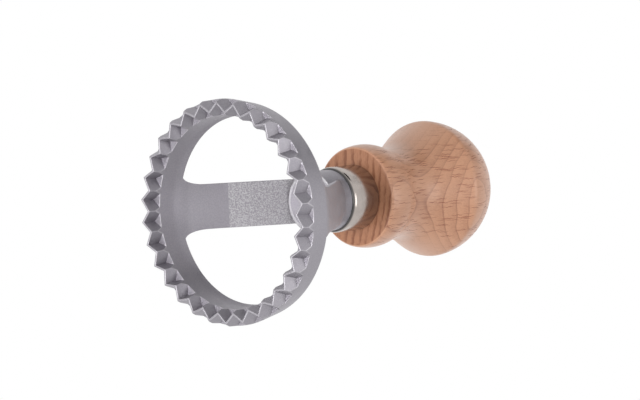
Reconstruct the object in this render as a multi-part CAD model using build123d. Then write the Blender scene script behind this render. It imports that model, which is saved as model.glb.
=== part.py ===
from build123d import *

import os
from math import acos, asin, atan2, cos, degrees, radians, sin, sqrt, tan

# Ravioli stamp: a cast aluminium cutting head on a turned beech knob.
# Millimetres. The stamp stands on its cutting edge: Z = 0 is the cutting plane, +Z runs up the axis
# through the boss, the ferrule and the handle, and the two arms of the bridge lie along X.

# Cutting ring: widest round the teeth, from their foot it tapers to a rounded rear edge
RING_OUTER_R = 32.0
RING_WALL = 4.75
RING_HEIGHT = 11.6
RING_DRAFT = 11.0
RING_REAR_ROUND = 1.6

# Teeth: a zigzag wall with a narrow cutting land, both its sides spreading from the land to the foot
TOOTH_COUNT = 30
TOOTH_HEIGHT = 3.5
TOOTH_DEPTH = 2.6
TIP_INSET = 0.65
EDGE_LAND = 0.7
OUTER_SPREAD = 1.6
INNER_TIP_SPREAD = 0.95
INNER_NOTCH_SPREAD = 1.75

# Bridge: two arms that curve in from the ring and lean up to the boss
ARM_WIDTH = 12.9
ARM_THICKNESS = 2.2
ARM_LEAN = 33.7
ARM_FLARE = 3.2
ARM_FLARE_RISE = 6.8
ARM_FLARE_SINK = 0.3
ARCH_SPRING_Z = 8.3
ARCH_ROUND = 10.0
FLAT_START = 11.6
FLAT_HOLLOW = 0.1
HOLLOW_STEPS = 8

# Boss: its dished front disc stands proud of the arms, its rear end goes into the ferrule
BOSS_R = 8.8
BOSS_PROUD = 1.5
BOSS_RIM = 0.9
BOSS_RIM_ROUND = 0.2
BOSS_DISH_DEPTH = 0.5
BOSS_NECK = 2.6
BOSS_CHAMFER = 0.4
SPIGOT_DEPTH = 4.6

# Ferrule
FERRULE_WALL = 0.6
FERRULE_LENGTH = 10.9
FERRULE_LIP_ROUND = 1.8
FERRULE_END_ROUND = 0.2
FERRULE_CLEARANCE = 0.08

# Handle: a barrel-shaped collar, a wide waist, a taper that opens to a rounded edge, and a round dome
TENON_CHAMFER = 0.4
FACE_ROUND = 1.0
COLLAR_R = 15.05
COLLAR_ROUND = 14.0
COLLAR_RISE = 4.4
WAIST_ROUND = 15.0
KNOB_TAPER = 29.0
EDGE_ROUND = 3.0
EDGE_TURN = 6.0
BALL_R = 20.1
BALL_RISE = 30.0

# Stud between boss and handle, drawn over its thread crests
STUD_R = 3.0
STUD_IN_BOSS = 7.0
STUD_IN_HANDLE = 30.0
STUD_CHAMFER = 0.5
STUD_POINT = 4.0
STUD_CLEARANCE = 0.05
STUD_HOLE_SPARE = 0.5

# Room by which a cutting tool runs past what it cuts, and stock left inside the arms for it
CUT_SPARE = 1.0
ARM_STOCK = 3.0

# Places that follow from the sizes above
RING_INNER_R = RING_OUTER_R - RING_WALL
TOOTH_PITCH = 360.0 / TOOTH_COUNT
ARM_HALF = ARM_WIDTH / 2
LEAN_SIN = sin(radians(ARM_LEAN))
LEAN_COS = cos(radians(ARM_LEAN))
ARCH_CENTRE_R = RING_INNER_R - ARCH_ROUND
ARC_END_R = RING_INNER_R - ARCH_ROUND * (1 - LEAN_COS)
ARC_END_Z = ARCH_SPRING_Z + ARCH_ROUND * LEAN_SIN
ARM_ROOT_R = BOSS_R - ARM_THICKNESS
ARM_FOOT_Z = RING_HEIGHT - RING_REAR_ROUND
FLAT_Z = ARC_END_Z + FLAT_START * LEAN_COS


def arm_r(height):
    """Radius of an arm's inner surface in the XZ plane, at a height."""
    if height < ARC_END_Z:
        return ARCH_CENTRE_R + sqrt(ARCH_ROUND**2 - (height - ARCH_SPRING_Z) ** 2)
    return ARC_END_R - (height - ARC_END_Z) * tan(radians(ARM_LEAN))


def arm_z(radius, depth=0.0):
    """Height of the leaning part of an arm at a radius, at a depth below its inner surface."""
    return ARC_END_Z + (ARC_END_R - radius) / tan(radians(ARM_LEAN)) + depth / LEAN_SIN


BOSS_FRONT_Z = arm_z(BOSS_R) - BOSS_PROUD
FERRULE_Z = arm_z(BOSS_R, ARM_THICKNESS) + BOSS_NECK
BOSS_REAR_Z = FERRULE_Z + SPIGOT_DEPTH
FACE_Z = FERRULE_Z + FERRULE_LENGTH
FERRULE_BORE_R = BOSS_R + FERRULE_CLEARANCE
FERRULE_OUTER_R = FERRULE_BORE_R + FERRULE_WALL
STUD_BOTTOM_Z = BOSS_REAR_Z - STUD_IN_BOSS
STUD_TOP_Z = BOSS_REAR_Z + STUD_IN_HANDLE


def at(radius, height):
    """A point of the section plane XZ."""
    return Vector(radius, 0, height)


def on_circle(centre, radius, angle):
    """A point of a circle in the section plane, its angle in degrees from +X towards +Z."""
    return centre + at(radius * cos(radians(angle)), radius * sin(radians(angle)))


def arc(centre, radius, start, end):
    """An arc of a circle in the section plane, between two angles in degrees."""
    middle = (start + end) / 2
    return ThreePointArc(*(on_circle(centre, radius, angle) for angle in (start, middle, end)))


def turned(edges):
    """The solid of revolution about Z of a closed section."""
    return revolve(make_face(edges), Axis.Z)


def zigzag(tip_r, notch_r, height):
    """A star-shaped face at a height: tips half a pitch from the X axis, notches on it."""
    points = []
    for tooth in range(TOOTH_COUNT):
        for radius, share in ((notch_r, 0.0), (tip_r, 0.5)):
            angle = radians((tooth + share) * TOOTH_PITCH)
            points.append((radius * cos(angle), radius * sin(angle), height))
    return make_face(Polyline(*points, close=True))


def star(tip_r, notch_r, tip_spread, notch_spread, bottom, top):
    """A star-shaped solid between two heights, its tips and notches spreading from the cutting edge up."""
    faces = []
    for height in (bottom, top):
        share = height / TOOTH_HEIGHT
        faces.append(zigzag(tip_r + tip_spread * share, notch_r + notch_spread * share, height))
    return loft(faces, ruled=True)


def tooth_cutters():
    """What is cut from the plain ring to leave the zigzag wall: one tool outside it, one inside."""
    tip_r = RING_OUTER_R - TIP_INSET
    notch_r = tip_r - TOOTH_DEPTH
    height = TOOTH_HEIGHT + CUT_SPARE
    blank = Pos(0, 0, TOOTH_HEIGHT - height / 2) * Cylinder(RING_OUTER_R + CUT_SPARE, height)
    outside = blank - star(tip_r, notch_r, OUTER_SPREAD, OUTER_SPREAD, -2 * CUT_SPARE, height)
    edge = (tip_r - EDGE_LAND, notch_r - EDGE_LAND)
    inside = star(*edge, -INNER_TIP_SPREAD, -INNER_NOTCH_SPREAD, -CUT_SPARE, TOOTH_HEIGHT)
    return outside, inside


def ring():
    """The plain ring: tapered outside with a rounded rear edge, inside starting to curve into the arms."""
    draft = radians(RING_DRAFT)
    rear_z = RING_HEIGHT - RING_REAR_ROUND
    rear_r = RING_OUTER_R - (RING_REAR_ROUND + (rear_z - TOOTH_HEIGHT) * sin(draft)) / cos(draft)
    rear_arc = arc(at(rear_r, rear_z), RING_REAR_ROUND, RING_DRAFT, 90)
    spring = at(ARCH_CENTRE_R, ARCH_SPRING_Z)
    inner_arc = arc(spring, ARCH_ROUND, degrees(asin((RING_HEIGHT - ARCH_SPRING_Z) / ARCH_ROUND)), 0)
    sides = Polyline(
        inner_arc @ 1,
        at(RING_INNER_R, 0),
        at(RING_OUTER_R, 0),
        at(RING_OUTER_R, TOOTH_HEIGHT),
        rear_arc @ 0,
    )
    return turned([sides, rear_arc, Line(rear_arc @ 1, inner_arc @ 0), inner_arc])


def bell():
    """The arms still joined all round into a bell, rooted in the ring, with stock left inside them."""
    outer_r = ARCH_ROUND + ARM_THICKNESS
    spring = at(ARCH_CENTRE_R, ARCH_SPRING_Z)
    outer_arc = arc(spring, outer_r, degrees(asin((ARM_FOOT_Z - ARCH_SPRING_Z) / outer_r)), ARM_LEAN)
    sides = Polyline(
        outer_arc @ 1,
        at(ARM_ROOT_R, arm_z(ARM_ROOT_R, ARM_THICKNESS)),
        at(ARM_ROOT_R, arm_z(ARM_ROOT_R, -ARM_STOCK)),
        at(ARC_END_R - ARM_STOCK, RING_HEIGHT),
        at(arm_r(RING_HEIGHT), RING_HEIGHT),
        outer_arc @ 0,
    )
    return turned([outer_arc, sides])


def hollow_section(height, bulge):
    """A level slice of the hollow under the bridge, its two ends bulging towards the arms."""
    half = ARM_HALF + ARM_FLARE + CUT_SPARE
    middle = arm_r(height)
    side = middle - bulge
    right = ThreePointArc((side, -half, height), (middle, 0, height), (side, half, height))
    left = ThreePointArc((-side, half, height), (-middle, 0, height), (-side, -half, height))
    return make_face([right, Line(right @ 1, left @ 0), left, Line(left @ 1, right @ 0)])


def hollow():
    """The hollow under the bridge: round as the ring at its foot, flat-ended where the arms lean in."""
    half = ARM_HALF + ARM_FLARE + CUT_SPARE
    sections = []
    for step in range(HOLLOW_STEPS + 1):
        share = step / HOLLOW_STEPS
        height = RING_HEIGHT + (FLAT_Z - RING_HEIGHT) * share
        round_bulge = arm_r(height) - sqrt(arm_r(height) ** 2 - half**2)
        flatness = share**2 * (3 - 2 * share)
        sections.append(hollow_section(height, round_bulge + (FLAT_HOLLOW - round_bulge) * flatness))
    lower = loft(sections)
    top = arm_z(ARM_ROOT_R)
    upper = loft([hollow_section(FLAT_Z, FLAT_HOLLOW), hollow_section(top, FLAT_HOLLOW)], ruled=True)
    return lower, upper


def window():
    """The gap beside the bridge on the +Y side, curving away where the arms flare out into the ring."""
    far = RING_OUTER_R + CUT_SPARE
    top = BOSS_REAR_Z
    # A quarter of an ellipse that runs on a little way below the ring's rear.
    centre = (ARM_HALF + ARM_FLARE, RING_HEIGHT + ARM_FLARE_RISE)
    flare = Plane.YZ * EllipticalCenterArc(
        centre,
        x_radius=ARM_FLARE,
        y_radius=ARM_FLARE_RISE + ARM_FLARE_SINK,
        start_angle=180,
        arc_size=90,
    )
    foot = flare @ 1
    sides = Polyline(
        foot,
        (0, foot.Y, ARM_FOOT_Z),
        (0, far, ARM_FOOT_Z),
        (0, far, top),
        (0, ARM_HALF, top),
        flare @ 0,
    )
    return extrude(make_face([flare, sides]), amount=far, dir=(1, 0, 0), both=True)


def boss():
    """The round boss: dished front disc with a rounded rim, and a blind hole for the stud at its rear."""
    rim_centre = at(BOSS_R - BOSS_RIM_ROUND, BOSS_FRONT_Z + BOSS_RIM_ROUND)
    dish_r = BOSS_R - BOSS_RIM
    dish_ball_r = (dish_r**2 + BOSS_DISH_DEPTH**2) / (2 * BOSS_DISH_DEPTH)
    dish_centre = at(0, BOSS_FRONT_Z + BOSS_DISH_DEPTH - dish_ball_r)
    dish_angle = degrees(atan2(BOSS_FRONT_Z - dish_centre.Z, dish_r))
    dish = arc(dish_centre, dish_ball_r, 90, dish_angle)
    rim = arc(rim_centre, BOSS_RIM_ROUND, 270, 360)
    rear = Polyline(
        rim @ 1,
        at(BOSS_R, BOSS_REAR_Z - BOSS_CHAMFER),
        at(BOSS_R - BOSS_CHAMFER, BOSS_REAR_Z),
        at(0, BOSS_REAR_Z),
        dish @ 0,
    )
    solid = turned([dish, Line(dish @ 1, rim @ 0), rim, rear])
    return solid - stud(STUD_CLEARANCE, STUD_HOLE_SPARE)


def cutter_head():
    """The one-piece casting: toothed ring, bridge and boss."""
    outside, inside = tooth_cutters()
    lower, upper = hollow()
    gap = window()
    arms = bell() - gap - mirror(gap, Plane.XZ) - lower - upper
    return ring() - outside - inside + arms + boss()


def ferrule():
    """The tube over the joint, its front lip rolled in to the boss."""
    lip_turn = degrees(acos(1 - FERRULE_WALL / FERRULE_LIP_ROUND))
    lip_rise = FERRULE_LIP_ROUND * sin(radians(lip_turn))
    lip_centre = at(FERRULE_OUTER_R - FERRULE_LIP_ROUND, FERRULE_Z + lip_rise)
    end_centre = at(FERRULE_OUTER_R - FERRULE_END_ROUND, FACE_Z - FERRULE_END_ROUND)
    lip = arc(lip_centre, FERRULE_LIP_ROUND, -lip_turn, 0)
    end = arc(end_centre, FERRULE_END_ROUND, 0, 90)
    bore = Polyline(end @ 1, at(FERRULE_BORE_R, FACE_Z), lip @ 0)
    return turned([lip, Line(lip @ 1, end @ 0), end, bore])


def handle():
    """The turned knob: tenon, collar, waist, taper and dome, drilled for the stud."""
    collar = at(COLLAR_R - COLLAR_ROUND, FACE_Z + COLLAR_RISE)
    ball = at(0, FACE_Z + BALL_RISE)
    # The face edge's small round lies inside the collar's circle and touches it and the face.
    face_round_z = FACE_Z + FACE_ROUND
    face_round_r = collar.X + sqrt((COLLAR_ROUND - FACE_ROUND) ** 2 - (collar.Z - face_round_z) ** 2)
    face_round = at(face_round_r, face_round_z)
    # The edge's round lies inside the dome and touches it. The waist's circle touches the collar's circle
    # from outside, and the straight taper that leaves the edge.
    edge = on_circle(ball, BALL_R - EDGE_ROUND, EDGE_TURN)
    across = at(cos(radians(KNOB_TAPER)), -sin(radians(KNOB_TAPER)))
    along = at(sin(radians(KNOB_TAPER)), cos(radians(KNOB_TAPER)))
    beside_edge = edge + across * (EDGE_ROUND + WAIST_ROUND)
    offset = beside_edge - collar
    rise = sqrt((COLLAR_ROUND + WAIST_ROUND) ** 2 - offset.dot(across) ** 2)
    waist = beside_edge + along * (rise - offset.dot(along))

    def angle(start, end):
        return degrees(atan2(end.Z - start.Z, end.X - start.X))

    face_arc = arc(face_round, FACE_ROUND, -90, angle(collar, face_round))
    collar_arc = arc(collar, COLLAR_ROUND, angle(collar, face_round), angle(collar, waist))
    waist_arc = arc(waist, WAIST_ROUND, angle(waist, collar) + 360, 180 - KNOB_TAPER)
    edge_arc = arc(edge, EDGE_ROUND, -KNOB_TAPER, EDGE_TURN)
    dome_arc = arc(ball, BALL_R, EDGE_TURN, 90)
    taper = Line(waist_arc @ 1, edge_arc @ 0)
    tenon_r = BOSS_R
    front = Polyline(
        dome_arc @ 1,
        at(0, BOSS_REAR_Z),
        at(tenon_r - TENON_CHAMFER, BOSS_REAR_Z),
        at(tenon_r, BOSS_REAR_Z + TENON_CHAMFER),
        at(tenon_r, FACE_Z),
        face_arc @ 0,
    )
    solid = turned([front, face_arc, collar_arc, waist_arc, taper, edge_arc, dome_arc])
    return solid - stud(STUD_CLEARANCE, STUD_HOLE_SPARE)


def stud(clearance=0.0, spare=0.0):
    """The stud, or with a clearance all round and some spare length at its ends, the hole for it."""
    radius = STUD_R + clearance
    bottom = STUD_BOTTOM_Z - spare
    top = STUD_TOP_Z + spare
    return turned(
        Polyline(
            at(0, bottom),
            at(radius - STUD_CHAMFER, bottom),
            at(radius, bottom + STUD_CHAMFER),
            at(radius, top - STUD_POINT),
            at(0, top),
            close=True,
        )
    )


os.makedirs("parts", exist_ok=True)
for name, solid in (
    ("cutter_head", cutter_head()),
    ("ferrule", ferrule()),
    ("handle", handle()),
    ("handle_stud", stud()),
):
    export_step(solid, f"parts/{name}.step")
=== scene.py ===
import math

import bmesh
import bpy
from bpy.props import FloatProperty, FloatVectorProperty, IntProperty, PointerProperty
from mathutils import Matrix, Vector
from mathutils.geometry import intersect_line_sphere_2d


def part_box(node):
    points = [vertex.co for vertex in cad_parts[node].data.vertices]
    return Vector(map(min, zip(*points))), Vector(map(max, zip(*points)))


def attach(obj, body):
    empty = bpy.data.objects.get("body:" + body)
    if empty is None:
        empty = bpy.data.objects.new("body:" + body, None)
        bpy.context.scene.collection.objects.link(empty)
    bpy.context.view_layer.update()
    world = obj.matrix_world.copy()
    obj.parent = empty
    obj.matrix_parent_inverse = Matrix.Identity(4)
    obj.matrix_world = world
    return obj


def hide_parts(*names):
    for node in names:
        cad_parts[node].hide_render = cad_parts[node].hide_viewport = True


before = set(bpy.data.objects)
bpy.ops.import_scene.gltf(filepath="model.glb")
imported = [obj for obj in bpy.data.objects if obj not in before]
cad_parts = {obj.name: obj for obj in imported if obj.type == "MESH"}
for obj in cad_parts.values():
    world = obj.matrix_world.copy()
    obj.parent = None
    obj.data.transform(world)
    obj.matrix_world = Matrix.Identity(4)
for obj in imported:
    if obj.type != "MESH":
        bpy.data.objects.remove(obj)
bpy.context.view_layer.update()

bl_info = {
    "name": "Ravioli stamp",
    "version": (1, 0, 0),
    "blender": (4, 5, 0),
    "location": "3D View > Sidebar > Stamp",
    "description": "Cast cutting head, plated ferrule and turned beech knob, on a plain stage",
    "category": "Object",
}

MM = 0.001
BODY = "root"
SAME_PLACE = 1e-3 * MM
SAME_TURN = 1e-4

HEAD_LOW, HEAD_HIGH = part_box("cutter_head")
FERRULE_LOW, FERRULE_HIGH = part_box("ferrule")
KNOB_LOW, KNOB_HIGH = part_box("handle")


# Sizes and colours

def length(label, words, default):
    """A length property in metres."""
    return FloatProperty(name=label, description=words, default=default, subtype="DISTANCE", unit="LENGTH")


def angle(label, words, degrees):
    """An angle property, its default given in degrees."""
    return FloatProperty(
        name=label, description=words, default=math.radians(degrees), subtype="ANGLE", unit="ROTATION"
    )


def amount(label, words, default):
    """A plain number of zero or more."""
    return FloatProperty(name=label, description=words, default=default, min=0.0)


def colour(label, words, default):
    """A linear colour property."""
    return FloatVectorProperty(
        name=label, description=words, default=default, size=3, min=0.0, max=1.0, subtype="COLOR"
    )


class StampHeadSizes(bpy.types.PropertyGroup):
    """Sizes of the cast cutting head"""

    ring_radius: length("Ring radius", "Largest outer radius of the ring", HEAD_HIGH.x)
    ring_wall: length("Ring wall", "Thickness of the ring at its widest", 4.75 * MM)
    ring_height: length("Ring height", "Cutting edge to the rear of the ring", 11.6 * MM)
    ring_draft: angle("Ring draft", "Taper of the ring's outside towards its rear", 11.0)
    rear_round: length("Rear rounding", "Radius of the ring's rear outer edge", 1.6 * MM)
    tooth_count: IntProperty(name="Teeth", description="Tips round the zigzag wall", default=30, min=8)
    tooth_height: length("Tooth height", "Height of the zigzag wall", 3.5 * MM)
    tooth_depth: length("Tooth depth", "Tip to notch, along a radius", 2.6 * MM)
    tip_inset: length("Tip inset", "How far the tips stand back from the ring's outside", 0.65 * MM)
    edge_land: length("Cutting land", "Width of the cutting edge, along a radius", 0.7 * MM)
    outer_spread: length("Outer spread", "How far the wall's outside spreads to its foot", 1.6 * MM)
    tip_spread: length("Inner tip spread", "How far the wall's inside spreads at the tips", 0.95 * MM)
    notch_spread: length("Inner notch spread", "How far the wall's inside spreads at the notches", 1.75 * MM)
    tooth_round: length("Tooth edge rounding", "Rounding of the teeth's edges", 0.15 * MM)
    arm_width: length("Arm width", "Width of the bridge's arms", 12.9 * MM)
    arm_thickness: length("Arm thickness", "Thickness of the bridge's arms", 2.2 * MM)
    arm_lean: angle("Arm lean", "Lean of the arms towards the axis", 33.7)
    arm_flare: length("Arm flare", "How far each edge of an arm widens into the ring", 3.2 * MM)
    flare_rise: length("Flare rise", "Height over which an arm widens", 6.8 * MM)
    flare_sink: length("Flare sink", "How far the flare's curve runs on below the ring's rear", 0.3 * MM)
    arm_root: length("Arm root", "How far the arms' outer side reaches into the boss", 0.2 * MM)
    arm_round: length("Arm edge rounding", "Rounding of the arms' long edges", 0.25 * MM)
    arch_spring: length("Arch spring", "Height at which the inner wall starts to curve", 8.3 * MM)
    arch_round: length("Arch rounding", "Radius of the curve from ring to arm", 10.0 * MM)
    flat_start: length("Flat start", "Straight stretch of arm below the as-cast flat", 11.6 * MM)
    flat_hollow: length("Flat hollow", "Hollow left across the flat of an arm", 0.1 * MM)
    boss_radius: length("Boss radius", "Radius of the boss", 8.8 * MM)
    boss_proud: length("Boss proud", "How far the disc stands out below the arms", 1.5 * MM)
    boss_rim: length("Boss rim", "Width of the rim round the dished disc", 0.9 * MM)
    boss_rim_round: length("Boss rim rounding", "Rounding of that rim", 0.2 * MM)
    dish_depth: length("Dish depth", "Depth of the dished disc", 0.5 * MM)


class StampFerruleSizes(bpy.types.PropertyGroup):
    """Sizes of the plated ferrule"""

    wall: length("Wall", "Thickness of the tube", 0.6 * MM)
    lip_round: length("Lip rounding", "Radius of the rolled front lip", 1.8 * MM)
    end_round: length("End rounding", "Rounding of the rear edge", 0.2 * MM)


class StampKnobSizes(bpy.types.PropertyGroup):
    """Sizes of the turned knob"""

    tenon_radius: length("Tenon radius", "Radius of the tenon inside the ferrule", 8.8 * MM)
    face_round: length("Face rounding", "Rounding of the front face's edge", 1.0 * MM)
    collar_radius: length("Collar radius", "Largest radius of the collar", 15.05 * MM)
    collar_round: length("Collar rounding", "Radius of the collar's barrel", 14.0 * MM)
    collar_rise: length("Collar rise", "Front face to the widest part of the collar", 4.4 * MM)
    waist_round: length("Waist rounding", "Radius of the hollow between collar and taper", 15.0 * MM)
    taper: angle("Taper", "Half angle of the cone between waist and dome", 29.0)
    edge_round: length("Edge rounding", "Radius of the edge between cone and dome", 3.0 * MM)
    edge_turn: angle("Edge turn", "Where the edge runs into the dome, from the level of its centre", 6.0)
    dome_radius: length("Dome radius", "Radius of the dome", 20.1 * MM)


class StampFinish(bpy.types.PropertyGroup):
    """Colours of the finishes"""

    turned_metal: colour("Turned metal", "Aluminium where it is machined", (0.303, 0.288, 0.319))
    cast_metal: colour("Cast metal", "Aluminium as it left the mould", (0.335, 0.32, 0.345))
    # Bright metal: colour of the edges' wear and painted highlights, and of the bright specks in the cast
    # grain
    bright_metal: colour("Worn metal", "Aluminium rubbed bright along the edges", (0.56, 0.552, 0.566))
    plating: colour("Plating", "Chrome plate of the ferrule", (0.445, 0.4, 0.372))
    # Painted shade: the dark line in the seam where the ferrule's lip meets the boss
    seam: colour("Seam", "Shade in the seam under the ferrule's lip", (0.05, 0.05, 0.052))
    zinc: colour("Zinc", "Zinc plate of the stud", (0.50, 0.50, 0.52))
    early_wood: colour("Early wood", "Pale part of a growth layer", (0.63, 0.315, 0.18))
    late_wood: colour("Late wood", "Dark end of a growth layer", (0.30, 0.105, 0.05))
    end_wood: colour("End grain", "Wood where the grain ends at the surface", (0.435, 0.194, 0.100))
    end_lines: colour("End grain lines", "Dark end of a layer where the grain ends", (0.235, 0.078, 0.03))
    ray_wood: colour("Rays", "Short dark flecks along the grain", (0.2, 0.025, 0.004))


class StampStage(bpy.types.PropertyGroup):
    """Camera, floor and lamps"""

    aim_height: length("Aim height", "Point of the axis that the camera looks at", 41.4 * MM)
    aim_aside: length("Aim aside", "How far off the axis the camera looks, along Y", 0.4 * MM)
    distance: length("Distance", "Camera to aim point", 1.1752)
    look: angle("Look direction", "Heading of the view, from +Y towards +X", 96.06)
    climb: angle("Climb", "How steeply the camera looks up", 47.48)
    roll: angle("Roll", "Turn of the camera about its own axis", 83.13)
    lens: FloatProperty(name="Lens", description="Focal length", default=230.26, unit="CAMERA")
    floor_size: length("Floor size", "Side of the square floor", 5.0)
    floor_colour: colour("Floor", "Colour of the floor", (0.90, 0.90, 0.90))
    floor_glow: amount("Floor glow", "White added to the floor", 0.35)
    fill: amount("Fill", "Strength of the light from all sides", 0.45)


class StampSettings(bpy.types.PropertyGroup):
    """All settings of the stamp"""

    head: PointerProperty(type=StampHeadSizes)
    ferrule: PointerProperty(type=StampFerruleSizes)
    knob: PointerProperty(type=StampKnobSizes)
    finish: PointerProperty(type=StampFinish)
    stage: PointerProperty(type=StampStage)


def stamp():
    """The scene's stamp settings."""
    return bpy.context.scene.ravioli_stamp


# Shapes

SPIN_AXIS = {"axis": (0, 0, 1), "cent": (0, 0, 0)}


def on_circle(centre, radius, turn):
    """A point of a circle in the section plane of radius and height."""
    return Vector((centre.x + radius * math.cos(turn), centre.y + radius * math.sin(turn)))


def arc(centre, radius, start, end, steps):
    """Points along an arc in the section plane, both ends included."""
    return [on_circle(centre, radius, start + (end - start) * step / steps) for step in range(steps + 1)]


def section_verts(bm, points):
    """Vertices of a section in the XZ plane and the edges that join them into a line."""
    verts = [bm.verts.new((point.x, 0.0, point.y)) for point in points]
    edges = [bm.edges.new(pair) for pair in zip(verts, verts[1:])]
    return verts, edges


def everything(bm):
    """All vertices, edges and faces."""
    return bm.verts[:] + bm.edges[:] + bm.faces[:]


def turned(points, steps):
    """A solid of revolution about Z from a section that starts and ends on the axis, or closes on itself."""
    bm = bmesh.new()
    verts, edges = section_verts(bm, points)
    bmesh.ops.spin(bm, geom=verts + edges, angle=math.tau, steps=steps, use_merge=True, **SPIN_AXIS)
    tidy(bm)
    return bm


def tidy(bm):
    """Merges doubles and turns all faces outwards."""
    bmesh.ops.remove_doubles(bm, verts=bm.verts, dist=SAME_PLACE)
    bmesh.ops.dissolve_degenerate(bm, edges=bm.edges, dist=SAME_PLACE)
    bmesh.ops.recalc_face_normals(bm, faces=bm.faces)


def to_object(bm, name):
    """An object at the origin from a bmesh, which is freed."""
    mesh = bpy.data.meshes.new(name)
    bm.to_mesh(mesh)
    bm.free()
    piece = bpy.data.objects.new(name, mesh)
    bpy.context.scene.collection.objects.link(piece)
    return piece


def dress(piece, material, node, sharp):
    """Smooths a piece, gives it its finish and lets it stand for a CAD node."""
    mesh = piece.data
    mesh.shade_smooth()
    mesh.set_sharp_from_angle(angle=sharp)
    mesh.materials.clear()
    mesh.materials.append(material)
    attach(piece, BODY)
    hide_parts(node)


# Cutting head

# Rows of the ring's section, steps along its curves, and how its edges are found and rounded
REAR_STEPS = 5
FIRST_WALL_ROW = 2
WALL_ROWS = 6
FOOT_ROW = FIRST_WALL_ROW + WALL_ROWS + 1 + REAR_STEPS
REAR_ROW = FOOT_ROW + 1
FLARE_STEPS = 10
BEND_STEPS = 12
LEAN_STEPS = 8
BOSS_STEPS = 256
DISH_STEPS = 12
RIM_STEPS = 8
ARM_SEGMENTS = 3
TOOTH_SEGMENTS = 2
# Brightening of bevelled faces: none on the arms, wear with a painted highlight on the teeth, a strong
# painted highlight on the boss's rim
ARM_SHINE = 0.0
TOOTH_WEAR_AND_HIGHLIGHT = 1.0
RIM_HIGHLIGHT = 3.0
FOOT_REACH = 0.8
MID_DEPTH = 0.5
TURN_DIGITS = 3
CREASE = math.radians(24)
HEAD_SHARP = math.radians(50)


def crossing(first, first_r, second, second_r):
    """Where two circles of the section plane cross, to the left of the way from the first to the second."""
    apart = (second - first).length
    along = (second - first) / apart
    share = (first_r**2 - second_r**2 + apart**2) / (2 * apart)
    aside = math.sqrt(first_r**2 - share**2)
    return first + along * share + Vector((-along.y, along.x)) * aside


def heading(start, end):
    """The angle of the way from one point of the section plane to another."""
    return math.atan2(end.y - start.y, end.x - start.x)


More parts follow.
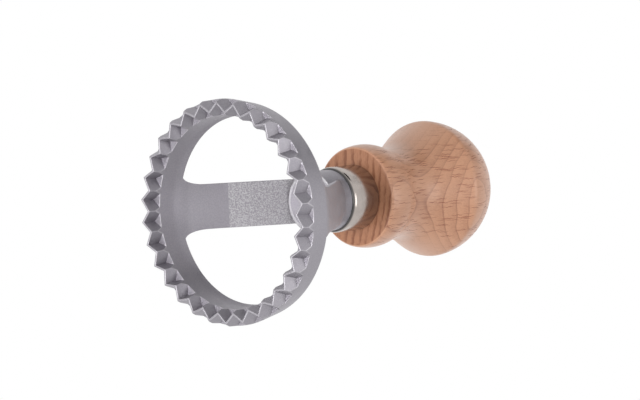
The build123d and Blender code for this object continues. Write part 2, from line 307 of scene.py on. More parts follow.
class HeadShape:
    """Places that follow from the head's sizes"""

    def __init__(self, sizes):
        self.sizes = sizes
        self.inner_r = sizes.ring_radius - sizes.ring_wall
        self.half_pitch = math.pi / sizes.tooth_count
        self.lean = math.tan(sizes.arm_lean)
        self.arch = Vector((self.inner_r - sizes.arch_round, sizes.arch_spring))
        self.bend_r = self.inner_r - sizes.arch_round * (1 - math.cos(sizes.arm_lean))
        self.bend_z = sizes.arch_spring + sizes.arch_round * math.sin(sizes.arm_lean)
        self.flat_z = self.bend_z + sizes.flat_start * math.cos(sizes.arm_lean)
        self.foot_half = sizes.arm_width / 2 + self.flare(sizes.flare_rise)
        self.arm_top = self.arm_height(sizes.boss_radius - sizes.arm_root, sizes.arm_thickness)
        self.boss_front = self.arm_height(sizes.boss_radius, 0.0) - sizes.boss_proud
        draft = sizes.ring_draft
        round_z = sizes.ring_height - sizes.rear_round
        taper = (round_z - sizes.tooth_height) * math.sin(draft)
        self.rear = Vector((sizes.ring_radius - (sizes.rear_round + taper) / math.cos(draft), round_z))
        self.foot = crossing(self.arch, sizes.arch_round + sizes.arm_thickness, self.rear, sizes.rear_round)

    def arm_height(self, radius, depth):
        """Height of the leaning part of an arm at a radius, at a depth below its inner side."""
        return self.bend_z + (self.bend_r - radius) / self.lean + depth / math.sin(self.sizes.arm_lean)

    def arm_radius(self, height, depth):
        """Radius of an arm in the XZ plane at a height, at a depth below its inner side."""
        sizes = self.sizes
        rise = height - sizes.arch_spring
        bend = sizes.arch_round + depth
        if rise < bend * math.sin(sizes.arm_lean):
            return self.arch.x + math.sqrt(bend**2 - rise**2)
        straight = height - self.bend_z - depth * math.sin(sizes.arm_lean)
        return self.bend_r + depth * math.cos(sizes.arm_lean) - straight * self.lean

    def hollow_radius(self, height):
        """Radius of the curve across an arm's inner side: the ring's at its foot, nearly flat above."""
        sizes = self.sizes
        share = (height - sizes.ring_height) / (self.flat_z - sizes.ring_height)
        share = min(max(share, 0.0), 1.0)
        flatness = share**2 * (3 - 2 * share)
        middle = self.arm_radius(height, 0.0)
        reach = min(self.foot_half, FOOT_REACH * middle)
        round_bulge = middle - math.sqrt(middle**2 - reach**2)
        bulge = round_bulge + (sizes.flat_hollow - round_bulge) * flatness
        return (reach**2 + bulge**2) / (2 * bulge)

    def arm_point(self, across, depth, height, half):
        """A point of the arm on the +X side: across runs from -1 to 1, depth from 0 inside to 1 outside."""
        aside = half * across
        curve = self.hollow_radius(height)
        inner = self.arm_radius(height, 0.0) - curve + math.sqrt(curve**2 - aside**2)
        outer = math.sqrt(self.arm_radius(height, self.sizes.arm_thickness) ** 2 - aside**2)
        return Vector((inner + (outer - inner) * depth, aside, height))

    def flare(self, below):
        """How far an arm flares out at a distance below the flare's top: a quarter of an ellipse."""
        sizes = self.sizes
        return sizes.arm_flare * (1 - math.sqrt(1 - (below / (sizes.flare_rise + sizes.flare_sink)) ** 2))

    def arm_stations(self):
        """Height and half width of the arm's sections, from just above the ring to inside the boss."""
        sizes = self.sizes
        half = sizes.arm_width / 2
        start = sizes.ring_height + sizes.flare_rise
        drop = sizes.flare_rise + sizes.flare_sink
        whole = math.asin(sizes.flare_rise / drop)
        for step in range(1, FLARE_STEPS + 1):
            below = drop * math.sin(whole * (1 - step / FLARE_STEPS))
            yield start - below, half + self.flare(below)
        for step in range(1, BEND_STEPS + 1):
            yield start + (self.flat_z - start) * step / BEND_STEPS, half
        for step in range(1, LEAN_STEPS + 1):
            yield self.flat_z + (self.arm_top - self.flat_z) * step / LEAN_STEPS, half

    def wall_ends(self, outside, height):
        """Radii of the zigzag wall's outside or inside at a notch and at a tip, at a height."""
        sizes = self.sizes
        share = height / sizes.tooth_height
        tip = sizes.ring_radius - sizes.tip_inset
        notch = tip - sizes.tooth_depth
        if outside:
            return notch + sizes.outer_spread * share, tip + sizes.outer_spread * share
        notch -= sizes.edge_land + sizes.notch_spread * share
        tip -= sizes.edge_land + sizes.tip_spread * share
        return notch, tip

    def wall_radius(self, outside, height, turn):
        """Radius of the wall at an angle from a notch, trimmed to the ring's outside and bore."""
        notch, tip = self.wall_ends(outside, height)
        chord = notch * math.sin(turn) + tip * math.sin(self.half_pitch - turn)
        radius = notch * tip * math.sin(self.half_pitch) / chord
        return min(radius, self.sizes.ring_radius) if outside else max(radius, self.inner_r)

    def trim_turn(self, outside):
        """Angle from a notch at which the wall's foot meets the ring's outside or bore."""
        notch, tip = self.wall_ends(outside, self.sizes.tooth_height)
        radius = self.sizes.ring_radius if outside else self.inner_r
        tip_point = Vector((tip * math.cos(self.half_pitch), tip * math.sin(self.half_pitch)))
        centre = Vector((0.0, 0.0))
        ends = intersect_line_sphere_2d(Vector((notch, 0.0)), tip_point, centre, radius)
        point = next(end for end in ends if end is not None)
        return math.atan2(point.y, point.x)

    def wall_rows(self):
        """Side and height of the wall's rows, from its inner foot over the cutting land to its outer foot."""
        sizes = self.sizes
        bore_notch = self.wall_ends(False, 0.0)[0]
        bore_z = sizes.tooth_height * (bore_notch - self.inner_r) / sizes.notch_spread
        ridge_z = sizes.tooth_height * sizes.tip_inset / sizes.outer_spread
        foot = sizes.tooth_height
        return ((False, foot), (False, bore_z), (False, 0.0), (True, 0.0), (True, ridge_z), (True, foot))

    def section(self):
        """The ring's section: bore, wall, tapered outside, rounded rear edge and the start of the arch."""
        sizes = self.sizes
        foot = sizes.tooth_height
        points = [Vector((self.inner_r, sizes.arch_spring)), Vector((self.inner_r, foot))]
        points += [Vector((self.wall_radius(*row, 0.0), row[1])) for row in self.wall_rows()]
        points.append(Vector((sizes.ring_radius, foot)))
        rear_end = heading(self.rear, self.foot)
        points += arc(self.rear, sizes.rear_round, sizes.ring_draft, rear_end, REAR_STEPS)
        for level in (sizes.ring_height, (sizes.ring_height + sizes.arch_spring) / 2):
            points.append(Vector((self.arm_radius(level, 0.0), level)))
        return points


def half_tooth(shape):
    """The ring's section spun from a notch to the next tip, its wall moved onto the zigzag."""
    bm = bmesh.new()
    row = bm.verts.layers.int.new("row")
    verts, edges = section_verts(bm, shape.section())
    edges.append(bm.edges.new((verts[-1], verts[0])))
    for number, vert in enumerate(verts):
        vert[row] = number
    bore_turn = shape.trim_turn(False)
    ring_turn = shape.trim_turn(True)
    last = verts + edges
    start = 0.0
    for turn in (bore_turn, ring_turn, shape.half_pitch):
        last = bmesh.ops.spin(bm, geom=last, angle=turn - start, steps=1, **SPIN_AXIS)["geom_last"]
        start = turn
    corners = {}
    for vert in bm.verts:
        turn = abs(math.atan2(vert.co.y, vert.co.x))
        number = vert[row] - FIRST_WALL_ROW
        if 0 <= number < WALL_ROWS:
            side, height = shape.wall_rows()[number]
            vert.co.xy *= shape.wall_radius(side, height, turn) / vert.co.xy.length
        corners[vert[row], round(turn / shape.half_pitch, TURN_DIGITS)] = vert

    def corner(number, turn):
        return corners[FIRST_WALL_ROW + number, round(turn / shape.half_pitch, TURN_DIGITS)]

    for pair in (
        (corner(1, 0.0), corner(0, bore_turn)),
        (corner(4, shape.half_pitch), corner(5, ring_turn)),
    ):
        bmesh.ops.connect_verts(bm, verts=pair)
    return bm


def ring_bmesh(shape):
    """The toothed ring: half a tooth, mirrored and repeated round the axis."""
    bm = half_tooth(shape)
    bmesh.ops.mirror(bm, geom=everything(bm), axis="Y", merge_dist=SAME_PLACE)
    rest = shape.sizes.tooth_count - 1
    whole = shape.half_pitch * 2 * rest
    bmesh.ops.spin(bm, geom=everything(bm), angle=whole, steps=rest, use_duplicate=True, **SPIN_AXIS)
    tidy(bm)
    return bm


def raise_arm(bm, shape, side):
    """Extrudes one arm of the bridge out of the ring's rear, on the +X or -X side."""
    row = bm.verts.layers.int["row"]
    across = bm.verts.layers.float["across"]
    depth = bm.verts.layers.float["depth"]
    cast = bm.faces.layers.float["as_cast"]
    reach = math.asin(shape.foot_half / shape.foot.x)

    def turn(place):
        return abs(math.atan2(place.y, place.x * side))

    def on_foot(face):
        level = all(FOOT_ROW <= vert[row] <= REAR_ROW for vert in face.verts)
        return level and turn(face.calc_center_median()) < reach

    faces = [face for face in bm.faces if on_foot(face)]
    foot = {vert for face in faces for vert in face.verts}
    widest = max(turn(vert.co) for vert in foot)
    for vert in foot:
        if turn(vert.co) > widest - SAME_TURN:
            aside = math.copysign(shape.foot_half, vert.co.y)
            vert.co.x = side * math.sqrt(vert.co.xy.length_squared - aside**2)
            vert.co.y = aside
        vert[across] = vert.co.y / shape.foot_half
        vert[depth] = REAR_ROW - vert[row]
    for height, half in shape.arm_stations():
        raised = bmesh.ops.extrude_face_region(bm, geom=faces)["geom"]
        bmesh.ops.delete(bm, geom=faces, context="FACES")
        faces = [part for part in raised if isinstance(part, bmesh.types.BMFace)]
        for part in raised:
            if isinstance(part, bmesh.types.BMVert):
                point = shape.arm_point(part[across], part[depth], height, half)
                part.co = Vector((point.x * side, point.y, point.z))
        if height > shape.flat_z + SAME_PLACE:
            for vert in {vert for face in faces for vert in face.verts}:
                for face in vert.link_faces:
                    if all(corner[depth] < MID_DEPTH for corner in face.verts):
                        face[cast] = 1.0


def round_edges(bm, edges, offset, segments, shine):
    """Bevels edges and marks the new faces for more or less brightening: wear with a painted highlight."""
    wear_and_highlight = bm.faces.layers.float["wear_and_highlight"]
    made = bmesh.ops.bevel(
        bm,
        geom=edges,
        offset=offset,
        offset_type="OFFSET",
        segments=segments,
        profile=0.5,
        affect="EDGES",
        clamp_overlap=False,
        material=-1,
    )
    for face in made["faces"]:
        face[wear_and_highlight] = shine


def arch_bmesh(shape):
    """Ring and bridge with their edges rounded."""
    sizes = shape.sizes
    bm = ring_bmesh(shape)
    for name in ("across", "depth"):
        bm.verts.layers.float.new(name)
    for name in ("as_cast", "wear_and_highlight"):
        bm.faces.layers.float.new(name)
    for side in (1, -1):
        raise_arm(bm, shape, side)
    tidy(bm)
    top = shape.arm_top

    def creased(low, high):
        for edge in bm.edges:
            ends = [vert.co.z for vert in edge.verts]
            inside = min(ends) > low - SAME_PLACE and max(ends) < high + SAME_PLACE
            if inside and edge.is_convex and edge.calc_face_angle(0.0) > CREASE:
                yield edge

    def below_top(edge):
        return min(vert.co.z for vert in edge.verts) < top - SAME_PLACE

    arms = [edge for edge in creased(shape.foot.y, top) if below_top(edge)]
    round_edges(bm, arms, sizes.arm_round, ARM_SEGMENTS, ARM_SHINE)
    teeth = list(creased(0.0, sizes.tooth_height))
    round_edges(bm, teeth, sizes.tooth_round, TOOTH_SEGMENTS, TOOTH_WEAR_AND_HIGHLIGHT)
    tidy(bm)
    return bm


def boss_bmesh(shape):
    """The boss: dished disc with a rounded rim, and the spigot that goes into the ferrule."""
    sizes = shape.sizes
    front = shape.boss_front
    rim_round = sizes.boss_rim_round
    dish_r = sizes.boss_radius - sizes.boss_rim
    dish_ball = (dish_r**2 + sizes.dish_depth**2) / (2 * sizes.dish_depth)
    dish_centre = Vector((0.0, front + sizes.dish_depth - dish_ball))
    edge_turn = math.atan2(front - dish_centre.y, dish_r)
    rim_centre = Vector((sizes.boss_radius - rim_round, front + rim_round))
    section = arc(dish_centre, dish_ball, math.pi / 2, edge_turn, DISH_STEPS)
    section += arc(rim_centre, rim_round, -math.pi / 2, 0.0, RIM_STEPS)
    section += [Vector((sizes.boss_radius, HEAD_HIGH.z)), Vector((0.0, HEAD_HIGH.z))]
    section[0].x = 0.0
    bm = turned(section, BOSS_STEPS)
    wear_and_highlight = bm.faces.layers.float.new("wear_and_highlight")
    # Painted highlight: the faces of the rim's rounding and land get a strong brightening of the base colour
    for face in bm.faces:
        middle = face.calc_center_median()
        if middle.z < rim_centre.y and middle.xy.length > dish_r:
            face[wear_and_highlight] = RIM_HIGHLIGHT
    return bm


def joined(piece, other):
    """The union of two closed pieces, as the first piece's mesh. The second piece is removed."""
    union = piece.modifiers.new("union", "BOOLEAN")
    union.operation = "UNION"
    union.solver = "EXACT"
    union.use_self = True
    union.object = other
    graph = bpy.context.evaluated_depsgraph_get()
    mesh = bpy.data.meshes.new_from_object(piece.evaluated_get(graph), depsgraph=graph)
    piece.modifiers.clear()
    piece.data = mesh
    bpy.data.objects.remove(other)
    return piece


class STAMP_OT_cutter_head(bpy.types.Operator):
    """Make the cast head: toothed ring, bridge and boss"""

    bl_idname = "ravioli_stamp.cutter_head"
    bl_label = "Cutting head"

    def execute(self, context):
        shape = HeadShape(stamp().head)
        piece = to_object(arch_bmesh(shape), "cutter_head_casting")
        piece = joined(piece, to_object(boss_bmesh(shape), "boss"))
        if not piece.data.polygons:
            raise RuntimeError("the boss could not be joined to the bridge")
        dress(piece, cast_aluminium(), "cutter_head", HEAD_SHARP)
        piece.modifiers.new("even facets", "WEIGHTED_NORMAL").keep_sharp = True
        return {"FINISHED"}


# Ferrule and knob

FERRULE_STEPS = 128
LIP_STEPS = 10
END_STEPS = 4
KNOB_STEPS = 160
FACE_STEPS = 6
COLLAR_STEPS = 24
WAIST_STEPS = 24
EDGE_STEPS = 8
DOME_STEPS = 40
TURNED_SHARP = math.radians(60)


class STAMP_OT_ferrule(bpy.types.Operator):
    """Make the plated ferrule over the joint of boss and knob"""

    bl_idname = "ravioli_stamp.ferrule"
    bl_label = "Ferrule"

    def execute(self, context):
        sizes = stamp().ferrule
        radius = FERRULE_HIGH.x
        bore = radius - sizes.wall
        lip_turn = math.acos(1.0 - sizes.wall / sizes.lip_round)
        lip = Vector((radius - sizes.lip_round, FERRULE_LOW.z + sizes.lip_round * math.sin(lip_turn)))
        end = Vector((radius - sizes.end_round, FERRULE_HIGH.z - sizes.end_round))
        section = arc(lip, sizes.lip_round, -lip_turn, 0.0, LIP_STEPS)
        section += arc(end, sizes.end_round, 0.0, math.pi / 2, END_STEPS)
        section += [Vector((bore, FERRULE_HIGH.z)), section[0].copy()]
        piece = to_object(turned(section, FERRULE_STEPS), "ferrule_tube")
        dress(piece, chrome_plate(), "ferrule", TURNED_SHARP)
        return {"FINISHED"}


def knob_section(sizes):
    """The knob's section from the tenon's end round collar, waist, taper and dome to the top."""
    face_z = FERRULE_HIGH.z
    dome = Vector((0.0, KNOB_HIGH.z - sizes.dome_radius))
    collar = Vector((sizes.collar_radius - sizes.collar_round, face_z + sizes.collar_rise))
    drop = collar.y - face_z - sizes.face_round
    inset = sizes.collar_round - sizes.face_round
    face = Vector((collar.x + math.sqrt(inset**2 - drop**2), face_z + sizes.face_round))
    edge = on_circle(dome, sizes.dome_radius - sizes.edge_round, sizes.edge_turn)
    across = Vector((math.cos(sizes.taper), -math.sin(sizes.taper)))
    along = Vector((math.sin(sizes.taper), math.cos(sizes.taper)))
    beside_edge = edge + across * (sizes.edge_round + sizes.waist_round)
    offset = beside_edge - collar
    rise = math.sqrt((sizes.collar_round + sizes.waist_round)**2 - offset.dot(across)**2)
    waist = beside_edge + along * (rise - offset.dot(along))
    section = [
        Vector((0.0, KNOB_LOW.z)),
        Vector((sizes.tenon_radius, KNOB_LOW.z)),
        Vector((sizes.tenon_radius, face_z)),
    ]
    face_end = heading(collar, face)
    waist_start = heading(waist, collar) + math.tau
    section += arc(face, sizes.face_round, -math.pi / 2, face_end, FACE_STEPS)
    section += arc(collar, sizes.collar_round, face_end, heading(collar, waist), COLLAR_STEPS)[1:]
    section += arc(waist, sizes.waist_round, waist_start, math.pi - sizes.taper, WAIST_STEPS)[1:]
    section += arc(edge, sizes.edge_round, -sizes.taper, sizes.edge_turn, EDGE_STEPS)
    section += arc(dome, sizes.dome_radius, sizes.edge_turn, math.pi / 2, DOME_STEPS)[1:]
    section[-1].x = 0.0
    return section


class STAMP_OT_knob(bpy.types.Operator):
    """Make the turned beech knob"""

    bl_idname = "ravioli_stamp.knob"
    bl_label = "Knob"

    def execute(self, context):
        piece = to_object(turned(knob_section(stamp().knob), KNOB_STEPS), "beech_knob")
        dress(piece, beech(), "handle", TURNED_SHARP)
        return {"FINISHED"}


class STAMP_OT_stud(bpy.types.Operator):
    """Give the hidden stud its zinc plate"""

    bl_idname = "ravioli_stamp.stud"
    bl_label = "Stud"

    def execute(self, context):
        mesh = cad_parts["handle_stud"].data
        mesh.materials.clear()
        mesh.materials.append(zinc_steel())
        return {"FINISHED"}


# Finishes

class Net:
    """Adds linked nodes to a tree"""

    def __init__(self, tree):
        self.tree = tree

    def add(self, kind, inputs=None, **settings):
        """A node with its settings and inputs: values are set, sockets are linked."""
        node = self.tree.nodes.new(kind)
        for name, value in settings.items():
            setattr(node, name, value)
        for name, value in (inputs or {}).items():
            if isinstance(value, bpy.types.NodeSocket):
                self.tree.links.new(value, node.inputs[name])
            else:
                node.inputs[name].default_value = value
        return node

    def math(self, operation, first, second=0.0, clamp=False):
        """The result of a Math node."""
        inputs = {0: first, 1: second}
        return self.add("ShaderNodeMath", inputs, operation=operation, use_clamp=clamp).outputs[0]

    def ramp(self, value, low, high, start=0.0, end=1.0):
        """A smooth step of a value between two limits."""
        inputs = {"Value": value, "From Min": low, "From Max": high, "To Min": start, "To Max": end}
        return self.add("ShaderNodeMapRange", inputs, interpolation_type="SMOOTHSTEP").outputs[0]

    def mix(self, factor, first, second, blend="MIX"):
        """A mix of two colours."""
        node = self.add("ShaderNodeMix", data_type="RGBA", blend_type=blend)
        for name, value in (("Factor_Float", factor), ("A_Color", first), ("B_Color", second)):
            socket = next(item for item in node.inputs if item.identifier == name)
            if isinstance(value, bpy.types.NodeSocket):
                self.tree.links.new(value, socket)
            else:
                socket.default_value = value
        return next(item for item in node.outputs if item.identifier == "Result_Color")

    def noise(self, vector, scale, detail=2.0, roughness=0.5):
        """Noise between 0 and 1."""
        inputs = {"Vector": vector, "Scale": scale, "Detail": detail, "Roughness": roughness}
        return self.add("ShaderNodeTexNoise", inputs).outputs[0]

    def stretch(self, vector, scale):
        """A vector scaled along each axis."""
        return self.add("ShaderNodeMapping", {"Vector": vector, "Scale": scale}).outputs[0]

    def attribute(self, name):
        """A value painted on the faces."""
        return self.add("ShaderNodeAttribute", attribute_name=name).outputs["Fac"]

    def millimetres(self):
        """Object coordinates in millimetres."""
        place = self.add("ShaderNodeTexCoord").outputs["Object"]
        return self.stretch(place, (1 / MM,) * 3)


def rgba(value):
    """A colour with full alpha."""
    return (*value, 1.0)


def new_material(name):
    """An empty node material, its net and its shader."""
    material = bpy.data.materials.new(name)
    material.use_nodes = True
    material.node_tree.nodes.clear()
    net = Net(material.node_tree)
    shader = net.add("ShaderNodeBsdfPrincipled")
    net.add("ShaderNodeOutputMaterial", {"Surface": shader.outputs[0]})
    return material, net, shader


def feed(net, shader, name, socket):
    """Links a socket to an input of the shader."""
    net.tree.links.new(socket, shader.inputs[name])


MOTTLE = "soft mottle"


def mottle_group():
    """The node group of a mask in soft patches, which the metals share."""
    group = bpy.data.node_groups.new(MOTTLE, "ShaderNodeTree")
    for name in ("Scale", "Detail"):
        group.interface.new_socket(name, in_out="INPUT", socket_type="NodeSocketFloat")
    group.interface.new_socket("Mottle", in_out="OUTPUT", socket_type="NodeSocketFloat")
    net = Net(group)
    given = net.add("NodeGroupInput").outputs
    patches = net.noise(net.millimetres(), given["Scale"], given["Detail"])
    net.add("NodeGroupOutput", {"Mottle": net.ramp(patches, 0.3, 0.7)})
    return group


def soft_mottle(net, scale, detail):
    """The mask of the mottle group, between 0 and 1."""
    group = bpy.data.node_groups.get(MOTTLE) or mottle_group()
    inputs = {"Scale": scale, "Detail": detail}
    return net.add("ShaderNodeGroup", inputs, node_tree=group).outputs["Mottle"]


def graded(net, mask, start, end):
    """A value that runs from start to end with a mask."""
    return net.math("ADD", start, net.math("MULTIPLY", mask, end - start))


# Metals: noise scales per millimetre, bump distances in millimetres
CAST_GRAIN = 2.6
CAST_BUMP = 0.1
CAST_MOTTLE = 0.35
EDGE_WEAR_AND_HIGHLIGHT = 0.25
PLATE_HAZE = 0.4
PLATE_BUMP = 0.05
DRAWN_STRETCH = (1.0, 1.0, 0.12)
DRAWN_SCALE = 1.6
SEAM_SHADE_START = 0.25
SEAM_SHADE_END = 0.75
ZINC_SPANGLE = 0.9


def cast_aluminium():
    """Satin aluminium: machined inside the ring, granular on the arms' flats, bright along its edges from
    wear and painted highlights.
    """
    finish = stamp().finish
    material, net, shader = new_material("cast aluminium")
    place = net.millimetres()
    cast = net.attribute("as_cast")
    wear_and_highlight = net.attribute("wear_and_highlight")
    turned_metal = rgba(finish.turned_metal)
    cast_metal = rgba(finish.cast_metal)
    bright_metal = rgba(finish.bright_metal)
    grain = net.noise(place, CAST_GRAIN, 3.0, 0.62)
    mottle = soft_mottle(net, CAST_MOTTLE, 3.0)
    turned_tone = net.mix(net.math("MULTIPLY", mottle, 0.35), turned_metal, cast_metal)
    rough_tone = net.mix(cast, turned_tone, cast_metal)
    grit = net.math("MULTIPLY", net.ramp(grain, 0.42, 0.60), graded(net, cast, 0.12, 0.8))
    tone = net.mix(grit, rough_tone, bright_metal)
    # Wear and painted highlight: marked faces are mixed towards the bright metal
    feed(net, shader, "Base Color", net.mix(net.math("MULTIPLY", wear_and_highlight, EDGE_WEAR_AND_HIGHLIGHT), tone, bright_metal))
    gloss = net.math("ADD", graded(net, mottle, 0.46, 0.54), net.math("MULTIPLY", cast, 0.04))
    feed(net, shader, "Roughness", net.math("SUBTRACT", gloss, net.math("MULTIPLY", wear_and_highlight, 0.03), clamp=True))
    relief = net.math("MULTIPLY", grain, graded(net, cast, 0.12, 1.0))
    bump = net.add("ShaderNodeBump", {"Height": relief, "Strength": 0.6, "Distance": CAST_BUMP * MM})
    feed(net, shader, "Normal", bump.outputs[0])
    shader.inputs["Metallic"].default_value = 1.0
    return material


def chrome_plate():
    """Polished plate with the faint waviness of a drawn tube, and painted shade where its lip meets the boss.
    """
    finish = stamp().finish
    material, net, shader = new_material("chrome plate")
    place = net.millimetres()
    haze = soft_mottle(net, PLATE_HAZE, 2.0)
    shade = tuple(0.92 * part for part in finish.plating)
    plate = net.mix(haze, rgba(finish.plating), rgba(shade))
    height = net.add("ShaderNodeSeparateXYZ", {"Vector": place}).outputs["Z"]
    front = FERRULE_LOW.z / MM
    # Painted shade: the plate darkens towards the lip's front edge, in the seam against the boss
    seam = net.ramp(height, front + SEAM_SHADE_START, front + SEAM_SHADE_END, 0.9, 0.0)
    feed(net, shader, "Base Color", net.mix(seam, plate, rgba(finish.seam)))
    feed(net, shader, "Roughness", graded(net, haze, 0.16, 0.22))
    drawn = net.noise(net.stretch(place, DRAWN_STRETCH), DRAWN_SCALE, 2.0)
    bump = net.add("ShaderNodeBump", {"Height": drawn, "Strength": 0.12, "Distance": PLATE_BUMP * MM})
    feed(net, shader, "Normal", bump.outputs[0])
    shader.inputs["Metallic"].default_value = 1.0
    return material


def zinc_steel():
    """Dull zinc on a steel stud."""
    finish = stamp().finish
    material, net, shader = new_material("zinc steel")
    spangle = soft_mottle(net, ZINC_SPANGLE, 3.0)
    shade = tuple(0.8 * part for part in finish.zinc)
    feed(net, shader, "Base Color", net.mix(spangle, rgba(finish.zinc), rgba(shade)))
    feed(net, shader, "Roughness", graded(net, spangle, 0.35, 0.5))
    shader.inputs["Metallic"].default_value = 1.0
    return material


# Growth layers of the wood, in millimetres: their lean and bend across Y, their waves, and a rise along Z
GRAIN_TILT = 0.17
GRAIN_BEND = 0.007
GRAIN_SWAY = 0.6
SWAY_SCALE = 0.09
GRAIN_JAG = 0.2
JAG_SCALE = 0.55
WAVE_STRETCH = (1.0, 1.0, 0.3)
GRAIN_RISE = 0.7
GRAIN_RISE_LOW = 62.0
GRAIN_RISE_HIGH = 90.0
LAYERS_PER_MM = 0.36
LAYER_CROWDING = 0.0045
FIRST_LAYER = 0.44

# Other marks of the wood: flecks, fibres, patches and the stripes of its end grain
FLECK_JAG_STRETCH = (0.4, 0.3, 0.9)
FLECK_JAG = (0.0, 0.8, 0.0)
FLECKS_ACROSS = 3.7
FLECKS_ALONG = 0.17
FIBRE_STRETCH = (3.5, 3.5, 0.16)
PATCH_STRETCH = (1.0, 1.0, 0.4)
PATCH_SCALE = 0.11
FUZZ_STRETCH = (2.2, 0.7, 0.7)
STRIPE_STRETCH = (0.5, 0.12, 0.12)
WOOD_BUMP = 0.05


def growth_layers(net, place, end_grain):
    """Share of the way through a growth layer. The layers lie across X and crowd together towards -X."""
    axes = net.add("ShaderNodeSeparateXYZ", {"Vector": place}).outputs
    lean = net.math("SUBTRACT", GRAIN_TILT, net.math("MULTIPLY", axes["Y"], GRAIN_BEND))
    along = net.stretch(place, WAVE_STRETCH)
    sway = net.ramp(net.noise(along, SWAY_SCALE), 0.0, 1.0, -GRAIN_SWAY, GRAIN_SWAY)
    jag = net.ramp(net.noise(along, JAG_SCALE), 0.2, 0.8, -GRAIN_JAG, GRAIN_JAG)
    jag = net.math("MULTIPLY", jag, net.ramp(end_grain, 0.0, 1.0, 0.15, 1.0))
    rise = net.ramp(axes["Z"], GRAIN_RISE_LOW, GRAIN_RISE_HIGH, GRAIN_RISE, 0.0)
    wave = net.math("ADD", net.math("ADD", sway, jag), rise)
    depth = net.math("ADD", axes["X"], net.math("ADD", wave, net.math("MULTIPLY", axes["Y"], lean)))
    pace = net.math("SUBTRACT", net.math("MULTIPLY", depth, LAYER_CROWDING), LAYERS_PER_MM)
    return net.math("FRACT", net.math("ADD", net.math("MULTIPLY", depth, pace), FIRST_LAYER))


def ray_flecks(net, place):
    """Short dashes along Z, thin where the surface faces along X."""
    jag = net.add("ShaderNodeTexNoise", {"Vector": net.stretch(place, FLECK_JAG_STRETCH), "Scale": 1.0})
    shift = net.add("ShaderNodeVectorMath", {0: jag.outputs["Color"], 1: FLECK_JAG}, operation="MULTIPLY")
    bent = net.add("ShaderNodeVectorMath", {0: place, 1: shift.outputs[0]}).outputs[0]
    axes = net.add("ShaderNodeSeparateXYZ", {"Vector": bent}).outputs
    across = net.math("MULTIPLY", axes["Y"], FLECKS_ACROSS)
    along = net.math("MULTIPLY", axes["Z"], FLECKS_ALONG)
    plane = net.add("ShaderNodeCombineXYZ", {"X": across, "Y": along}).outputs[0]
    cells = net.add("ShaderNodeTexVoronoi", {"Vector": plane, "Scale": 1.0}, voronoi_dimensions="2D")
    lot = net.add("ShaderNodeSeparateColor", {0: cells.outputs["Color"]}).outputs[0]
    depth = net.ramp(lot, 0.10, 0.45, 1.0, 0.0)
    return net.math("MULTIPLY", net.ramp(cells.outputs["Distance"], 0.18, 0.34, 1.0, 0.0), depth)


def beech():
    """Lacquered beech: growth layers, short dark rays along Z, richer and duller where the grain ends."""
    finish = stamp().finish
    material, net, shader = new_material("beech")
    place = net.millimetres()
    facing = net.add("ShaderNodeTexCoord").outputs["Normal"]
    normal = net.add("ShaderNodeSeparateXYZ", {"Vector": facing}).outputs
    end_grain = net.ramp(net.math("ABSOLUTE", normal["Z"]), 0.80, 0.96)
    flat_sawn = net.ramp(net.math("ABSOLUTE", normal["X"]), 0.15, 0.6)
    phase = growth_layers(net, place, end_grain)
    past = net.ramp(phase, 0.975, 1.0, 1.0, 0.0)
    thin_line = net.math("MULTIPLY", net.ramp(phase, 0.84, 0.95), past)
    wide_line = net.math("MULTIPLY", net.ramp(phase, 0.35, 0.92), past)
    fibre = net.noise(net.stretch(place, FIBRE_STRETCH), 1.0, 3.0, 0.6)
    patch = net.noise(net.stretch(place, PATCH_STRETCH), PATCH_SCALE)
    line_depth = net.math("ADD", net.ramp(patch, 0.48, 0.64, 0.0, 0.2), net.math("MULTIPLY", flat_sawn, 0.16))
    layer_depth = net.ramp(flat_sawn, 0.4, 1.0, 0.3, 1.0)
    layer = net.math("MULTIPLY", net.ramp(phase, 0.1, 1.0, -0.06, 0.20), layer_depth)
    tone = net.math("ADD", layer, net.math("MULTIPLY", thin_line, line_depth))
    tone = net.math("ADD", tone, net.ramp(fibre, 0.3, 0.7, -0.10, 0.16))
    tone = net.math("ADD", tone, net.ramp(patch, 0.3, 0.7, -0.06, 0.12), clamp=True)
    side = net.mix(tone, rgba(finish.early_wood), rgba(finish.late_wood))
    fuzz = net.ramp(net.noise(net.stretch(place, FUZZ_STRETCH), 1.0, 3.0, 0.6), 0.3, 0.7, -0.25, 0.25)
    stripe_depth = net.ramp(net.noise(net.stretch(place, STRIPE_STRETCH), 1.0, 1.0), 0.35, 0.65, 0.45, 1.2)
    stripe = net.math("ADD", net.math("MULTIPLY", wide_line, stripe_depth), fuzz, clamp=True)
    end = net.mix(stripe, rgba(finish.end_wood), rgba(finish.end_lines))
    wood = net.mix(end_grain, side, end)
    fleck = net.math("MULTIPLY", ray_flecks(net, place), net.ramp(end_grain, 0.0, 1.0, 0.9, 0.0))
    fleck = net.math("MULTIPLY", fleck, flat_sawn)
    feed(net, shader, "Base Color", net.mix(fleck, wood, rgba(finish.ray_wood)))
    feed(net, shader, "Roughness", net.ramp(fibre, 0.3, 0.7, 0.46, 0.58))
    lacquer = net.math("SUBTRACT", 1.0, net.math("MULTIPLY", fleck, 0.9))
    coat = net.math("MULTIPLY", net.ramp(end_grain, 0.0, 1.0, 0.9, 0.25), lacquer)
    feed(net, shader, "Coat Weight", coat)
    relief = net.math("SUBTRACT", net.math("MULTIPLY", fibre, 0.3), fleck)
    bump = net.add("ShaderNodeBump", {"Height": relief, "Strength": 0.25, "Distance": WOOD_BUMP * MM})
    feed(net, shader, "Normal", bump.outputs[0])
    shader.inputs["Coat Roughness"].default_value = 0.34
    return material


# Stage

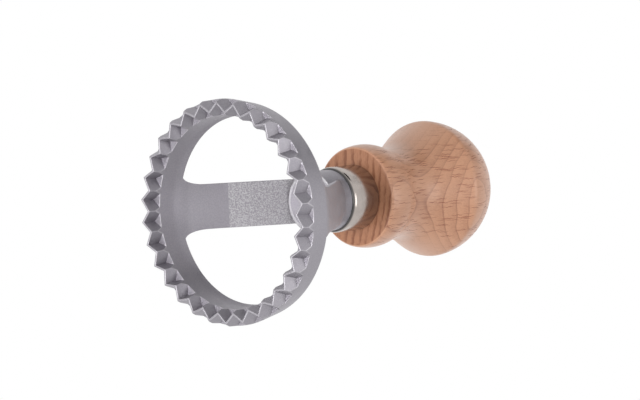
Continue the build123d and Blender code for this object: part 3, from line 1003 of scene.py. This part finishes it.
# Name, direction from the object, distance and size in metres, and a lamp's brightness
LAMPS = (
    ("front_lamp", (0.0, 0.0, -1.0), 1.0, 0.60, 5.2),
    ("low_lamp", (0.0, -0.75, -0.65), 1.0, 0.60, 0.8),
    ("left_lamp", (-0.93, -0.05, 0.30), 1.0, 0.60, 2.0),
    ("under_lamp", (0.45, -0.54, 0.71), 1.0, 0.50, 0.15),
    ("view_lamp", (-0.69, 0.07, -0.72), 1.0, 0.60, 1.1),
)
FLAGS = (
    ("back_flag", (-0.16, 0.44, 0.88), 0.8, 0.30),
    ("top_flag", (-0.22, 0.88, 0.42), 0.8, 0.42),
)
WHITE = (1.0, 1.0, 1.0, 1.0)
FLAG_COLOUR = (0.02, 0.02, 0.02, 1.0)
VIEW_DEPTH = 20.0


def pale_floor(settings):
    """A floor that shows from above only and never shades the object from below."""
    material, net, shader = new_material("pale floor")
    shader.inputs["Base Color"].default_value = rgba(settings.floor_colour)
    shader.inputs["Roughness"].default_value = 0.9
    shader.inputs["Specular IOR Level"].default_value = 0.0
    shader.inputs["Emission Color"].default_value = WHITE
    shader.inputs["Emission Strength"].default_value = settings.floor_glow
    seen = net.add("ShaderNodeLightPath").outputs["Is Camera Ray"]
    below = net.add("ShaderNodeNewGeometry").outputs["Backfacing"]
    shown = net.math("MULTIPLY", seen, net.math("SUBTRACT", 1.0, below))
    clear = net.add("ShaderNodeBsdfTransparent")
    surface = net.add("ShaderNodeMixShader", {0: shown, 1: clear.outputs[0], 2: shader.outputs[0]})
    output = next(node for node in net.tree.nodes if node.bl_idname == "ShaderNodeOutputMaterial")
    net.tree.links.new(surface.outputs[0], output.inputs["Surface"])
    return material


def dark_flag(name, direction, distance, size, aim):
    """A dark board that is never seen itself, and darkens what faces it."""
    material, _, shader = new_material("dark flag")
    shader.inputs["Base Color"].default_value = FLAG_COLOUR
    shader.inputs["Roughness"].default_value = 1.0
    shader.inputs["Specular IOR Level"].default_value = 0.0
    bm = bmesh.new()
    towards = Vector(direction).normalized()
    turn = towards.to_track_quat("Z", "Y").to_matrix().to_4x4()
    place = Matrix.Translation(aim + towards * distance) @ turn
    bmesh.ops.create_grid(bm, x_segments=1, y_segments=1, size=size / 2, matrix=place)
    flag = to_object(bm, name)
    flag.data.materials.append(material)
    flag.visible_camera = False


def white_world(settings):
    """White behind the object and in its reflections, with an even fill from all sides."""
    world = bpy.data.worlds.new("white surround")
    world.use_nodes = True
    world.node_tree.nodes.clear()
    net = Net(world.node_tree)
    path = net.add("ShaderNodeLightPath").outputs
    seen = net.math("MAXIMUM", path["Is Camera Ray"], path["Is Glossy Ray"])
    seen = net.math("MAXIMUM", seen, path["Is Transmission Ray"])
    strength = net.ramp(seen, 0.0, 1.0, settings.fill, 1.0)
    surround = net.add("ShaderNodeBackground", {"Color": WHITE, "Strength": strength})
    net.add("ShaderNodeOutputWorld", {"Surface": surround.outputs[0]})
    bpy.context.scene.world = world


def add_camera(settings):
    """The camera at the photograph's viewing angle, below the cutting plane and rolled."""
    level = math.cos(settings.climb)
    heading = Vector((math.sin(settings.look), math.cos(settings.look), 0.0))
    forward = heading * level + Vector((0.0, 0.0, math.sin(settings.climb)))
    right = forward.cross(Vector((0.0, 0.0, 1.0))).normalized()
    up = right.cross(forward)
    turned_right = right * math.cos(settings.roll) + up * math.sin(settings.roll)
    turned_up = up * math.cos(settings.roll) - right * math.sin(settings.roll)
    aim = Vector((0.0, settings.aim_aside, settings.aim_height))
    camera = bpy.data.objects.new("camera", bpy.data.cameras.new("camera"))
    camera.data.lens = settings.lens
    camera.data.clip_end = VIEW_DEPTH
    place = Matrix((turned_right, turned_up, -forward)).transposed().to_4x4()
    place.translation = aim - forward * settings.distance
    camera.matrix_world = place
    bpy.context.scene.collection.objects.link(camera)
    bpy.context.scene.camera = camera


def add_lamp(name, direction, distance, size, brightness, aim):
    """A square soft lamp that faces the object, its power worked out from its brightness."""
    data = bpy.data.lights.new(name, "AREA")
    data.shape = "SQUARE"
    data.size = size
    data.energy = brightness * math.pi * size**2
    lamp = bpy.data.objects.new(name, data)
    towards = Vector(direction).normalized()
    lamp.location = aim + towards * distance
    lamp.rotation_euler = towards.to_track_quat("Z", "Y").to_euler()
    lamp.visible_camera = False
    bpy.context.scene.collection.objects.link(lamp)


class STAMP_OT_stage(bpy.types.Operator):
    """Set up floor, surround, lamps and camera"""

    bl_idname = "ravioli_stamp.stage"
    bl_label = "Stage"

    def execute(self, context):
        settings = stamp().stage
        context.scene.view_settings.view_transform = "Standard"
        bm = bmesh.new()
        bmesh.ops.create_grid(bm, x_segments=1, y_segments=1, size=settings.floor_size / 2)
        floor = to_object(bm, "floor")
        floor.data.materials.append(pale_floor(settings))
        white_world(settings)
        aim = Vector((0.0, 0.0, settings.aim_height))
        for flag in FLAGS:
            dark_flag(*flag, aim)
        for lamp in LAMPS:
            add_lamp(*lamp, aim)
        add_camera(settings)
        return {"FINISHED"}


# Add-on

class STAMP_PT_panel(bpy.types.Panel):
    """Sizes, finishes and pieces of the stamp"""

    bl_label = "Ravioli stamp"
    bl_idname = "STAMP_PT_panel"
    bl_space_type = "VIEW_3D"
    bl_region_type = "UI"
    bl_category = "Stamp"

    def draw(self, context):
        settings = context.scene.ravioli_stamp
        for group in (settings.head, settings.ferrule, settings.knob, settings.finish, settings.stage):
            box = self.layout.box()
            for name in group.__annotations__:
                box.prop(group, name)
        for operator in PIECES:
            self.layout.operator(operator.bl_idname)


GROUPS = (StampHeadSizes, StampFerruleSizes, StampKnobSizes, StampFinish, StampStage, StampSettings)
PIECES = (STAMP_OT_cutter_head, STAMP_OT_ferrule, STAMP_OT_knob, STAMP_OT_stud, STAMP_OT_stage)
CLASSES = (*GROUPS, *PIECES, STAMP_PT_panel)


def register():
    for item in CLASSES:
        bpy.utils.register_class(item)
    bpy.types.Scene.ravioli_stamp = PointerProperty(type=StampSettings)


def unregister():
    del bpy.types.Scene.ravioli_stamp
    for item in reversed(CLASSES):
        bpy.utils.unregister_class(item)


def main():
    """Registers the add-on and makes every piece."""
    register()
    bpy.ops.ravioli_stamp.cutter_head()
    bpy.ops.ravioli_stamp.ferrule()
    bpy.ops.ravioli_stamp.knob()
    bpy.ops.ravioli_stamp.stud()
    bpy.ops.ravioli_stamp.stage()


if __name__ == "__main__":
    main()
